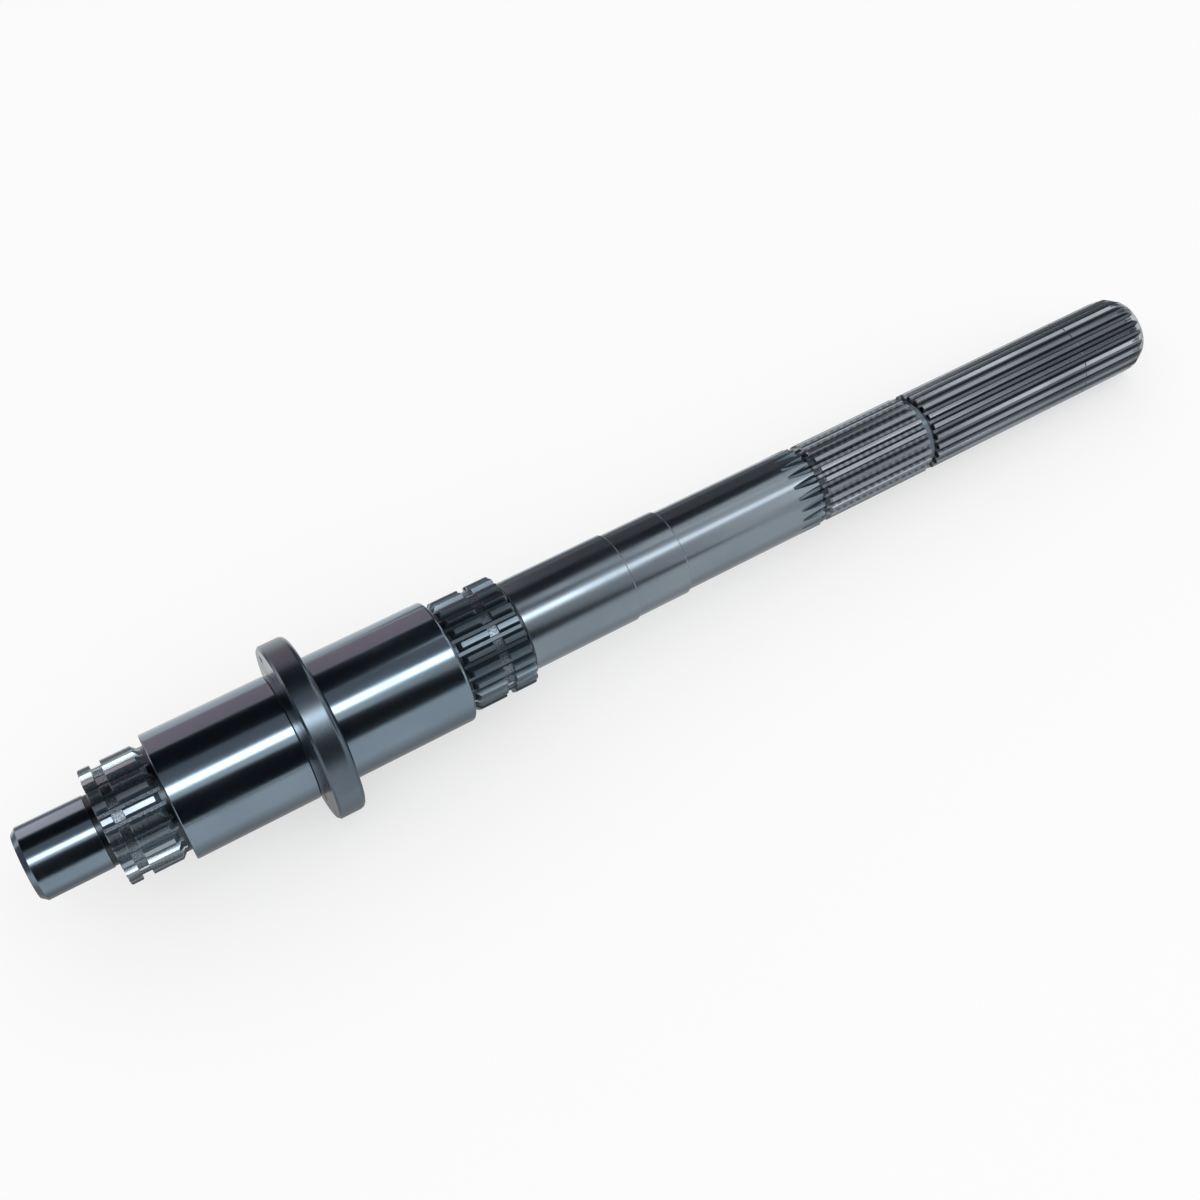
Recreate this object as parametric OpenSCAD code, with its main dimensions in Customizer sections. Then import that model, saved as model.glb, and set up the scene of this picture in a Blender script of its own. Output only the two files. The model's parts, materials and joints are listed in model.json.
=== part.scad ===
// Gearbox main shaft, turned, hobbed and ground from one bar.
// The shaft lies along +X with the pilot end towards -X, and +Z is up.
// The origin is on the axis at the rear end of the front main journal, just before the thrust flange.

/* [Pilot end] */
// Diameter of the pilot journal
pilot_d = 25; // [20:0.5:30]
// Length of the pilot journal, with its lead
pilot_len = 23.5; // [16:0.1:40]
// Axial length of the lead on the end of the pilot
pilot_lead_len = 1.9; // [0.5:0.1:4]
// Radial depth of the lead on the end of the pilot
pilot_lead_depth = 1.6; // [0.5:0.1:3]
// Width of the grinding relief behind the pilot
pilot_relief_len = 2; // [0.8:0.1:3]

/* [Hub splines] */
// Number of teeth on each hub spline
hub_teeth = 24; // [18:1:36]
// Module of the hub splines
hub_module = 1.5875; // [1.25:0.0125:2]
// Depth of the tooth spaces of the hub splines
hub_depth = 2; // [1.4:0.05:2.4]
// Width of the snap ring groove in each hub spline
ring_groove_len = 3.5; // [2:0.1:5]
// Depth of the snap ring grooves
ring_groove_depth = 1.5; // [0.8:0.05:2]
// Chamfer on the inner end of the hub spline teeth
hub_chamfer = 1.6; // [0.5:0.1:2]
// Small edge break on the other tooth ends
tooth_break = 0.35; // [0.1:0.05:0.8]
// Width of the clearance groove between the front hub spline and its journal
front_gap_len = 2; // [1:0.1:4]
// Width of the clearance groove between the rear hub spline and its journal
rear_gap_len = 1.4; // [1:0.1:4]
// Length of the outer band of teeth on the front hub spline
front_band_len = 4; // [2:0.1:10]
// Length of the inner teeth on the front hub spline
front_teeth_len = 11.5; // [6:0.1:30]
// Length of the inner teeth on the rear hub spline
rear_teeth_len = 11.4; // [6:0.1:30]
// Length of the outer band of teeth on the rear hub spline
rear_band_len = 7.9; // [2:0.1:16]
// Turn of the front hub spline about the axis, in degrees
front_clock = -6.6; // [-7:0.05:7]
// Turn of the rear hub spline about the axis, in degrees
rear_clock = 5.85; // [-7:0.05:7]

/* [Main journals] */
// Diameter of the two main journals
journal_d = 43.6; // [42:0.1:50]
// Length of the front main journal
front_journal_len = 42.5; // [20:0.1:80]
// Length of the rear main journal
rear_journal_len = 43.8; // [20:0.1:80]
// Edge break on the front end of the front journal
journal_break = 0.3; // [0.1:0.05:1]
// Edge radius on the rear end of the rear journal
journal_round = 1.2; // [0.5:0.1:1.8]
// Depth of the grinding reliefs beside the flange and the seats
relief_depth = 0.4; // [0.2:0.05:0.8]
// Width of the grinding relief in front of the flange
front_relief_len = 2.3; // [1:0.1:4]
// Width of the grinding relief behind the flange
rear_relief_len = 1.2; // [0.8:0.1:4]

/* [Thrust flange] */
// Diameter of the thrust flange
flange_d = 62.2; // [56:0.1:80]
// Thickness of the thrust flange
flange_t = 9.7; // [6:0.1:16]
// Chamfer on the front edge of the flange
flange_chamfer = 0.8; // [0.3:0.1:2]
// Radius on the rear edge of the flange
flange_round = 2.1; // [1:0.1:4]
// Diameter of the two holes in the front face of the flange
flange_hole_d = 2.6; // [1.5:0.1:4]
// Depth of those holes
flange_hole_depth = 6; // [2:0.1:8]
// Radius at which the outer hole lies
outer_hole_r = 26.8; // [25:0.1:28]
// Turn of the outer hole about the axis, in degrees
outer_hole_turn = 128; // [0:1:359]
// Radius at which the inner hole lies
inner_hole_r = 23.8; // [23.5:0.1:24.5]
// Turn of the inner hole about the axis, in degrees
inner_hole_turn = -38; // [-180:1:179]

/* [Stem] */
// Width of the grinding relief behind the rear hub spline
stem_relief_len = 1.6; // [1:0.1:4]
// Diameter of the bearing seat
bearing_seat_d = 32.4; // [32.1:0.1:34]
// Length of the bearing seat
bearing_seat_len = 40.8; // [20:0.1:80]
// Diameter of the middle seat
middle_seat_d = 31.3; // [30.8:0.1:31.5]
// Length of the middle seat
middle_seat_len = 20.8; // [10:0.1:60]
// Diameter of the plain stem
stem_d = 29.9; // [29.3:0.1:30.1]
// Length of the plain stem, up to the tail spline
stem_len = 56.8; // [30:0.1:120]
// Edge break on the rear end of each seat
seat_break = 0.4; // [0.1:0.05:0.5]

/* [Tail spline] */
// Number of teeth on the tail spline
tail_teeth = 22; // [16:1:22]
// Module of the tail spline
tail_module = 1.27; // [1:0.01:1.27]
// Depth of the tooth spaces of the tail spline
tail_depth = 1.5; // [1:0.05:1.9]
// Width of the groove at the front of the tail spline
entry_groove_len = 2.9; // [1.5:0.1:5]
// Depth of that groove below the plain stem
entry_groove_depth = 0.95; // [0.4:0.05:1.6]
// Length of the front teeth of the tail spline
tail_front_len = 44.6; // [20:0.1:80]
// Width of the groove between the front and rear teeth
split_groove_len = 3.2; // [2:0.1:6]
// Length of the rear teeth of the tail spline, with the lead
tail_rear_len = 99.9; // [40:0.1:160]
// Axial length of the slow taper before the lead on the tail end
tail_taper_len = 3.7; // [1:0.1:10]
// Radial depth of that taper
tail_taper_depth = 0.3; // [0.1:0.05:0.6]
// Axial length of the lead on the tail end
tail_lead_len = 3.8; // [2:0.1:10]
// Radial depth of the lead, beyond the taper
tail_lead_depth = 2; // [1:0.1:4]
// Distance of the ring mark on the teeth from the tail end
ring_mark_from_end = 30.6; // [12:0.1:90]
// Width of the ring mark
ring_mark_len = 0.4; // [0.2:0.05:1]
// Radius of the hob that left the run-outs on the stem
hob_r = 35; // [25:1:60]

/* [Centre holes] */
// Mouth diameter of the lathe centre holes
centre_mouth_d = 6.3; // [3:0.1:8]
// Drill diameter of the lathe centre holes
centre_drill_d = 2.5; // [1:0.1:2.8]
// Depth of the straight drill beyond the cone
centre_drill_len = 4; // [1:0.1:10]

/* [Hidden] */
$fn = 96;

steel = [0.52, 0.55, 0.58];
pressure_angle = 30;
centre_half_angle = 30;
past = 0.5;          // how far a cutter runs past the metal
flank_steps = 3;     // chords on each tooth flank
pilot_relief_depth = 0.35;

// Radii that the splines take from their teeth
hub_tip_r = hub_module * (hub_teeth + 1) / 2;
hub_root_r = hub_tip_r - hub_depth;
ring_floor_r = hub_tip_r - ring_groove_depth;
tail_tip_r = tail_module * (tail_teeth + 1) / 2;
tail_root_r = tail_tip_r - tail_depth;
hub_foot_r = hub_tip_r - hub_chamfer;

// Stations along the shaft
front_journal_rear = 0;
flange_front = front_journal_rear + front_relief_len;
flange_rear = flange_front + flange_t;
front_journal_front = front_journal_rear - front_journal_len;
front_teeth_rear = front_journal_front - front_gap_len;
front_teeth_front = front_teeth_rear - front_teeth_len;
front_band_rear = front_teeth_front - ring_groove_len;
front_band_front = front_band_rear - front_band_len;
pilot_rear = front_band_front - pilot_relief_len;
pilot_front = pilot_rear - pilot_len;
rear_journal_front = flange_rear + rear_relief_len;
rear_journal_rear = rear_journal_front + rear_journal_len;
rear_teeth_front = rear_journal_rear + rear_gap_len;
rear_teeth_rear = rear_teeth_front + rear_teeth_len;
rear_band_front = rear_teeth_rear + ring_groove_len;
rear_band_rear = rear_band_front + rear_band_len;
bearing_seat_front = rear_band_rear + stem_relief_len;
middle_seat_front = bearing_seat_front + bearing_seat_len;
stem_front = middle_seat_front + middle_seat_len;
stem_rear = stem_front + stem_len;
tail_front = stem_rear + entry_groove_len;
split_front = tail_front + tail_front_len;
split_rear = split_front + split_groove_len;
tail_end = split_rear + tail_rear_len;
ring_mark_front = tail_end - ring_mark_from_end;
run_out_rear = stem_rear + entry_groove_len / 2;

// Involute function, in degrees
function involute(a) = tan(a) * 180 / PI - a;

// Half of the angle that a tooth space takes at radius r
function space_half_angle(teeth, mod, r) =
    let (base_r = mod * teeth / 2 * cos(pressure_angle),
         tooth = 90 / teeth + involute(pressure_angle) - involute(acos(min(1, base_r / r))))
    180 / teeth - tooth;

// Outline of one tooth space, as points of radius and sideways offset
function space_outline(teeth, mod, root_r, top_r) =
    let (steps = [for (i = [0:flank_steps]) root_r + (top_r - root_r) * i / flank_steps])
    concat([for (r = steps) [r, -r * sin(space_half_angle(teeth, mod, r))]],
           [for (i = [flank_steps:-1:0])
               [steps[i], steps[i] * sin(space_half_angle(teeth, mod, steps[i]))]]);

// A quarter round from the top of an edge down to its rear face
function rear_round(x, r, edge) =
    [for (a = [0:15:90]) [x - edge + edge * sin(a), r - edge + edge * cos(a)]];

// Everything that the lathe leaves, as one outline of station and radius
function lathe_outline() =
    let (pilot_r = pilot_d / 2, journal_r = journal_d / 2, flange_r = flange_d / 2,
         bearing_r = bearing_seat_d / 2, middle_r = middle_seat_d / 2, stem_r = stem_d / 2)
    concat([
        [pilot_front, 0],
        [pilot_front, pilot_r - pilot_lead_depth],
        [pilot_front + pilot_lead_len, pilot_r],
        [pilot_rear, pilot_r],
        [pilot_rear, pilot_r - pilot_relief_depth],
        [front_band_front, pilot_r - pilot_relief_depth],
        [front_band_front, hub_tip_r - tooth_break],
        [front_band_front + tooth_break, hub_tip_r],
        [front_band_rear, hub_tip_r],
        [front_band_rear, ring_floor_r],
        [front_teeth_front, ring_floor_r],
        [front_teeth_front, hub_tip_r],
        [front_teeth_rear - hub_chamfer, hub_tip_r],
        [front_teeth_rear, hub_foot_r],
        [front_journal_front, hub_foot_r],
        [front_journal_front, journal_r - journal_break],
        [front_journal_front + journal_break, journal_r],
        [front_journal_rear, journal_r],
        [front_journal_rear + relief_depth, journal_r - relief_depth],
        [flange_front + relief_depth / 2, journal_r - relief_depth],
        [flange_front + relief_depth / 2, journal_r],
        [flange_front, journal_r + relief_depth],
        [flange_front, flange_r - flange_chamfer],
        [flange_front + flange_chamfer, flange_r]],
        rear_round(flange_rear, flange_r, flange_round), [
        [flange_rear, journal_r + relief_depth],
        [flange_rear - relief_depth / 2, journal_r],
        [flange_rear - relief_depth / 2, journal_r - relief_depth],
        [rear_journal_front - relief_depth, journal_r - relief_depth],
        [rear_journal_front, journal_r]],
        rear_round(rear_journal_rear, journal_r, journal_round), [
        [rear_journal_rear, hub_foot_r],
        [rear_teeth_front, hub_foot_r],
        [rear_teeth_front + hub_chamfer, hub_tip_r],
        [rear_teeth_rear, hub_tip_r],
        [rear_teeth_rear, ring_floor_r],
        [rear_band_front, ring_floor_r],
        [rear_band_front, hub_tip_r],
        [rear_band_rear - tooth_break, hub_tip_r],
        [rear_band_rear, hub_tip_r - tooth_break],
        [rear_band_rear, bearing_r - relief_depth],
        [bearing_seat_front - relief_depth, bearing_r - relief_depth],
        [bearing_seat_front, bearing_r],
        [middle_seat_front - seat_break, bearing_r],
        [middle_seat_front, bearing_r - seat_break],
        [middle_seat_front, middle_r],
        [stem_front - seat_break, middle_r],
        [stem_front, middle_r - seat_break],
        [stem_front, stem_r],
        [stem_rear, stem_r],
        [stem_rear, stem_r - entry_groove_depth],
        [tail_front, stem_r - entry_groove_depth],
        [tail_front + tail_tip_r - stem_r + entry_groove_depth, tail_tip_r],
        [split_front, tail_tip_r],
        [split_front, tail_root_r],
        [split_rear, tail_root_r],
        [split_rear, tail_tip_r - tooth_break],
        [split_rear + tooth_break, tail_tip_r],
        [ring_mark_front, tail_tip_r],
        [ring_mark_front + ring_mark_len / 2, tail_tip_r - ring_mark_len / 2],
        [ring_mark_front + ring_mark_len, tail_tip_r],
        [tail_end - tail_lead_len - tail_taper_len, tail_tip_r],
        [tail_end - tail_lead_len, tail_tip_r - tail_taper_depth],
        [tail_end, tail_tip_r - tail_taper_depth - tail_lead_depth],
        [tail_end, 0]]);

// Turns what is modelled along +Z to lie along +X, with its first angle pointing down
module along_shaft() rotate([0, 90, 0]) children();

module turned_blank() rotate_extrude() polygon([for (p = lathe_outline()) [p[1], p[0]]]);

// Straight tooth spaces from one station to another
module tooth_spaces(teeth, mod, root_r, tip_r, from, to, clock) {
    for (i = [0:teeth - 1])
        rotate([0, 0, clock + 360 * i / teeth])
            translate([0, 0, from])
                linear_extrude(height = to - from)
                    polygon(space_outline(teeth, mod, root_r, tip_r + past));
}

// The curved end that the round hob leaves in front of each tail tooth space
module hob_run_outs() {
    centre_r = tail_root_r + hob_r;
    top_r = stem_d / 2 + past;
    reach = sqrt(hob_r * hob_r - pow(hob_r - (top_r - tail_root_r), 2));
    for (i = [0:tail_teeth - 1])
        rotate([0, 0, 360 * i / tail_teeth])
            intersection() {
                translate([centre_r, 0, run_out_rear])
                    rotate([90, 0, 0])
                        rotate_extrude()
                            polygon([for (p = space_outline(tail_teeth, tail_module, tail_root_r, top_r))
                                [centre_r - p[0], p[1]]]);
                translate([tail_root_r - past, -tail_module * 2, run_out_rear - reach])
                    cube([top_r - tail_root_r + past, tail_module * 4, reach]);
            }
}

// Lathe centre hole, cut from its mouth at the origin towards +Z
module centre_hole() {
    cone_len = (centre_mouth_d - centre_drill_d) / 2 / tan(centre_half_angle);
    rotate_extrude()
        polygon([[0, -past], [centre_mouth_d / 2, -past], [centre_mouth_d / 2, 0],
            [centre_drill_d / 2, cone_len], [centre_drill_d / 2, cone_len + centre_drill_len],
            [0, cone_len + centre_drill_len]]);
}

// Small drilled hole in the front face of the flange
module flange_hole(r, turn) {
    rotate([0, 0, turn])
        translate([r, 0, flange_front - past])
            cylinder(d = flange_hole_d, h = flange_hole_depth + past, $fn = 32);
}

module main_shaft() {
    color(steel)
        along_shaft()
            difference() {
                turned_blank();
                tooth_spaces(hub_teeth, hub_module, hub_root_r, hub_tip_r,
                    front_band_front - pilot_relief_len / 2,
                    front_teeth_rear + front_gap_len / 2, front_clock);
                tooth_spaces(hub_teeth, hub_module, hub_root_r, hub_tip_r,
                    rear_teeth_front - rear_gap_len / 2,
                    rear_band_rear + stem_relief_len / 2, rear_clock);
                tooth_spaces(tail_teeth, tail_module, tail_root_r, stem_d / 2,
                    run_out_rear, tail_end + past, 0);
                hob_run_outs();
                flange_hole(outer_hole_r, outer_hole_turn);
                flange_hole(inner_hole_r, inner_hole_turn);
                translate([0, 0, pilot_front]) centre_hole();
                translate([0, 0, tail_end]) mirror([0, 0, 1]) centre_hole();
            }
}

main_shaft();
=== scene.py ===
"""Looks of a gearbox main shaft: its detailed body, its steel finishes, a small studio and the camera."""

import json
import logging
import math
from dataclasses import dataclass
from enum import Enum
from functools import cached_property
from itertools import accumulate
from typing import Any, Callable, NamedTuple, Union

import bpy
from mathutils import Matrix, Vector

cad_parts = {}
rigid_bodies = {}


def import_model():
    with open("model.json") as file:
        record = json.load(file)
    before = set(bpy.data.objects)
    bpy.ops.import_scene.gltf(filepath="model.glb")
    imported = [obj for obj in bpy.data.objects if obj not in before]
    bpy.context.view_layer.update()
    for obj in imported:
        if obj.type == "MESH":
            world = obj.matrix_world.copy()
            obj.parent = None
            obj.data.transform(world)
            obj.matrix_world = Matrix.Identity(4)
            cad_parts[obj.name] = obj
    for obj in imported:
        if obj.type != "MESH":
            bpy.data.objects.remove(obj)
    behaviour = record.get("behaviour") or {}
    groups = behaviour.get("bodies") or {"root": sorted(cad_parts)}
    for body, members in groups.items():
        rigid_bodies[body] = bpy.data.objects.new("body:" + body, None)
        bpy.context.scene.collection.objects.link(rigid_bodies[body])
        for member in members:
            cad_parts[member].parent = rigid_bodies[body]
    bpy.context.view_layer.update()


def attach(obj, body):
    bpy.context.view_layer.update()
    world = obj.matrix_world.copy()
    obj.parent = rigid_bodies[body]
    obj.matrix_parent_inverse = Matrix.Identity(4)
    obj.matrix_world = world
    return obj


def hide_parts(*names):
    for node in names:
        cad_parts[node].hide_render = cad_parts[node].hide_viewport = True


MM = 0.001
NODE = "main_shaft"
BODY = "root"

# Angles in degrees: of the teeth's flanks, of the centre holes' cones and of the sharpest smooth edge
PRESSURE_ANGLE = 30
CENTRE_CONE = 30
SMOOTH_ANGLE = 32

# How far the spline cutters, the hob and the drills reach past the metal, in millimetres
CUT_PAST, HOB_PAST, DRILL_PAST = 0.5, 0.3, 1.0

# Corners that turn by fewer degrees stay sharp, and a round has about one chord for as many degrees
CORNER_TURN = 25

# The share of a side that a round takes at most
SIDE_SHARE = 0.4

# How many chords follow a quarter round
ROUND_STEPS = 6

# Cosines that tell a face turned straight outwards, one slanted along the shaft and one square to it
OUTWARDS, SLANTED, SQUARE = 0.97, 0.3, 0.5

# The steel's worn clouds, fine lines and grain: how many a metre holds, and how much of that along x, y and z
CLOUD_SCALE, LINE_SCALE, GRAIN_SCALE = 45, 1400, 2600
CLOUD_AXES, LINE_AXES = (0.6, 1, 1), (1, 0.03, 0.03)

# Noise at which clouds and grain set in and are full, and the shares of clouds and lines in added roughness
CLOUD_FADE, GRAIN_FADE = (0.38, 0.68), (0.35, 0.65)
CLOUD_SHARE, LINE_SHARE = 0.6, 0.4

# The hob's feed marks: how much brighter they are than the steel, how far they cover it, where their wave and
# the grain in them set in and are full, and how many metres they take to fade away
FEED_SHINE, FEED_SHARE = 1.9, 0.8
FEED_WAVE, FEED_GRAIN, FEED_FADE = (-0.5, 0.6), (0.3, 0.6), 0.01

# Painted shadow under the shaft: its y where it is fullest, in metres, and the share of its reach that stays
# full
PAINTED_SHADOW_Y, PAINTED_SHADOW_FULL = -0.012, 0.2

# Share of the floor's white that is its own, and of the room's white that it gives as light
FLOOR_GLOW, ROOM_LIGHT = 0.6, 0.85

log = logging.getLogger("main_shaft")

Number = Union[int, float]
Colour = tuple[float, float, float]
Outline = list[tuple[float, float]]


class Zone(Enum):
    """The finishes that cover the shaft, in the order of its material slots."""

    GROUND = 0
    TEETH = 1
    TURNED = 2
    GROOVE = 3
    SATIN = 4
    LAND = 5
    HOBBED = 6
    SEAT = 7
    # Painted shade: near-black steel in holes, narrow gaps and groove walls, where shade falls
    GAP = 8
    # Painted highlight: bright steel on chamfers, standing in for the light they reflect
    LEAD = 9
    REAR_TEETH = 10


def involute(angle: float) -> float:
    """Gives the involute of an angle, both in degrees."""
    return math.degrees(math.tan(math.radians(angle))) - angle


def deselect() -> None:
    """Leaves edit mode and deselects every object."""
    if bpy.context.object and bpy.context.object.mode != "OBJECT":
        bpy.ops.object.mode_set(mode="OBJECT")
    bpy.ops.object.select_all(action="DESELECT")


def pick(piece: bpy.types.Object) -> None:
    """Makes one object the selected and active one.

    Args:
        piece: The object.
    """
    deselect()
    piece.select_set(True)
    bpy.context.view_layer.objects.active = piece


def edit_all() -> None:
    """Enters edit mode with all of the active object selected."""
    bpy.ops.object.mode_set(mode="EDIT")
    bpy.ops.mesh.select_all(action="SELECT")


def select_parts(piece: bpy.types.Object, kind: str, wanted: Callable[[Any], bool]) -> None:
    """Selects faces or points of the object in edit mode by their place or normal.

    Args:
        piece: The object that is being edited.
        kind: FACE or VERT.
        wanted: Says whether one of them is selected.
    """
    bpy.ops.mesh.select_mode(type=kind)
    bpy.ops.mesh.select_all(action="DESELECT")
    bpy.ops.object.mode_set(mode="OBJECT")
    for part in piece.data.polygons if kind == "FACE" else piece.data.vertices:
        part.select = wanted(part)
    bpy.ops.object.mode_set(mode="EDIT")


def new_plane(name: str, size: float = 1.0) -> bpy.types.Object:
    """Adds a plane.

    Args:
        name: Its name.
        size: The length of its side.

    Returns:
        The plane.
    """
    deselect()
    bpy.ops.mesh.primitive_plane_add(size=size)
    plane = bpy.context.object
    plane.name = plane.data.name = name
    return plane


def apply_modifier(piece: bpy.types.Object, kind: str, **settings: Any) -> None:
    """Adds a modifier to an object and applies it.

    Args:
        piece: The object that it shapes.
        kind: Blender's name of the modifier type.
        settings: The modifier's settings.
    """
    pick(piece)
    modifier = piece.modifiers.new(kind.lower(), kind)
    for key, value in settings.items():
        setattr(modifier, key, value)
    bpy.ops.object.modifier_apply(modifier=modifier.name)


@dataclass(frozen=True)
class Spline:
    """One set of involute teeth round the shaft, in millimetres.

    Attributes:
        teeth: How many teeth it has.
        module: Its module.
        depth: Depth of the tooth spaces.
        front: Station where the straight cut starts.
        rear: Station where the straight cut ends.
        past: How far the cut reaches out beyond the tip of the teeth.
        clock: Turn of the first space about the axis, in degrees.
        hob_r: Radius of the hob that leaves a curved run-out at the front, or 0 for none.
    """

    teeth: int
    module: float
    depth: float
    front: float
    rear: float
    past: float
    clock: float
    hob_r: float = 0.0

    @property
    def tip_r(self) -> float:
        """Radius over the teeth."""
        return self.module * (self.teeth + 1) / 2

    @property
    def root_r(self) -> float:
        """Radius at the floor of the tooth spaces."""
        return self.tip_r - self.depth

    def half_width(self, radius: float) -> float:
        """Gives half the width of a tooth space.

        Args:
            radius: Where it is measured.

        Returns:
            The half width.
        """
        base_r = self.module * self.teeth / 2 * math.cos(math.radians(PRESSURE_ANGLE))
        flank = involute(math.degrees(math.acos(min(1.0, base_r / radius))))
        tooth = 90 / self.teeth + involute(PRESSURE_ANGLE) - flank
        return radius * math.sin(math.radians(180 / self.teeth - tooth))

    def cutter(self, steps: int = 4) -> bpy.types.Object:
        """Models what one tooth space takes away, from its floor outwards.

        Args:
            steps: How many chords follow each flank.

        Returns:
            The cutter, with its length along Z.
        """
        piece = new_plane("cutter", MM)
        edit_all()
        width = 2 * self.half_width(self.root_r)
        bpy.ops.transform.resize(value=(self.rear - self.front, width, 1), center_override=(0, 0, 0))
        bpy.ops.transform.translate(value=(-(self.front + self.rear) / 2 * MM, 0, self.root_r * MM))
        rise = (self.tip_r + self.past - self.root_r) / steps
        for i in range(1, steps + 1):
            wider = 2 * self.half_width(self.root_r + rise * i)
            bpy.ops.mesh.extrude_region_move(TRANSFORM_OT_translate={"value": (0, 0, rise * MM)})
            bpy.ops.transform.resize(value=(1, wider / width, 1), center_override=(0, 0, 0))
            width = wider
        if self.hob_r:
            self._curve_away(piece)
        bpy.ops.object.mode_set(mode="OBJECT")
        piece.data.transform(Matrix.Rotation(math.radians(90), 4, "Y"))
        return piece

    def _curve_away(self, piece: bpy.types.Object, steps: int = 14) -> None:
        """Carries the front end of a cutter outwards along the hob's arc.

        Args:
            piece: The cutter in edit mode, with its front end towards +X.
            steps: How many chords follow the arc.
        """
        top_r = self.tip_r + self.past
        sweep = math.acos(1 - (top_r + HOB_PAST - self.root_r) / self.hob_r)
        select_parts(piece, "FACE", lambda face: face.normal.x > SQUARE)
        centre = (-self.front * MM, 0, (self.root_r + self.hob_r) * MM)
        for _ in range(steps):
            bpy.ops.mesh.extrude_region()
            bpy.ops.transform.rotate(value=sweep / steps, orient_axis="Y", center_override=centre)

    def cutters(self) -> list[bpy.types.Object]:
        """Models one cutter and copies it round the shaft.

        Returns:
            One object for each tooth space, each with its own mesh.
        """
        first = self.cutter()
        found = [first]
        for _ in range(1, self.teeth):
            copy = first.copy()
            copy.data = first.data.copy()
            bpy.context.collection.objects.link(copy)
            found.append(copy)
        for i, piece in enumerate(found):
            turn = math.radians(self.clock + 360 * i / self.teeth)
            piece.data.transform(Matrix.Rotation(turn, 4, "Z"))
        return found


class Stations(NamedTuple):
    """Where the shaft's edges lie along the axis, from the pilot's end to the tail's, in millimetres."""

    pilot_front: float
    pilot_rear: float
    front_band_front: float
    front_band_rear: float
    front_teeth_front: float
    front_teeth_rear: float
    front_journal_front: float
    flange_front: float
    flange_rear: float
    rear_journal_front: float
    rear_journal_rear: float
    rear_teeth_front: float
    rear_teeth_rear: float
    rear_band_front: float
    rear_band_rear: float
    bearing_seat_front: float
    middle_seat_front: float
    stem_front: float
    stem_rear: float
    tail_front: float
    split_front: float
    split_rear: float
    tail_end: float


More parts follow.
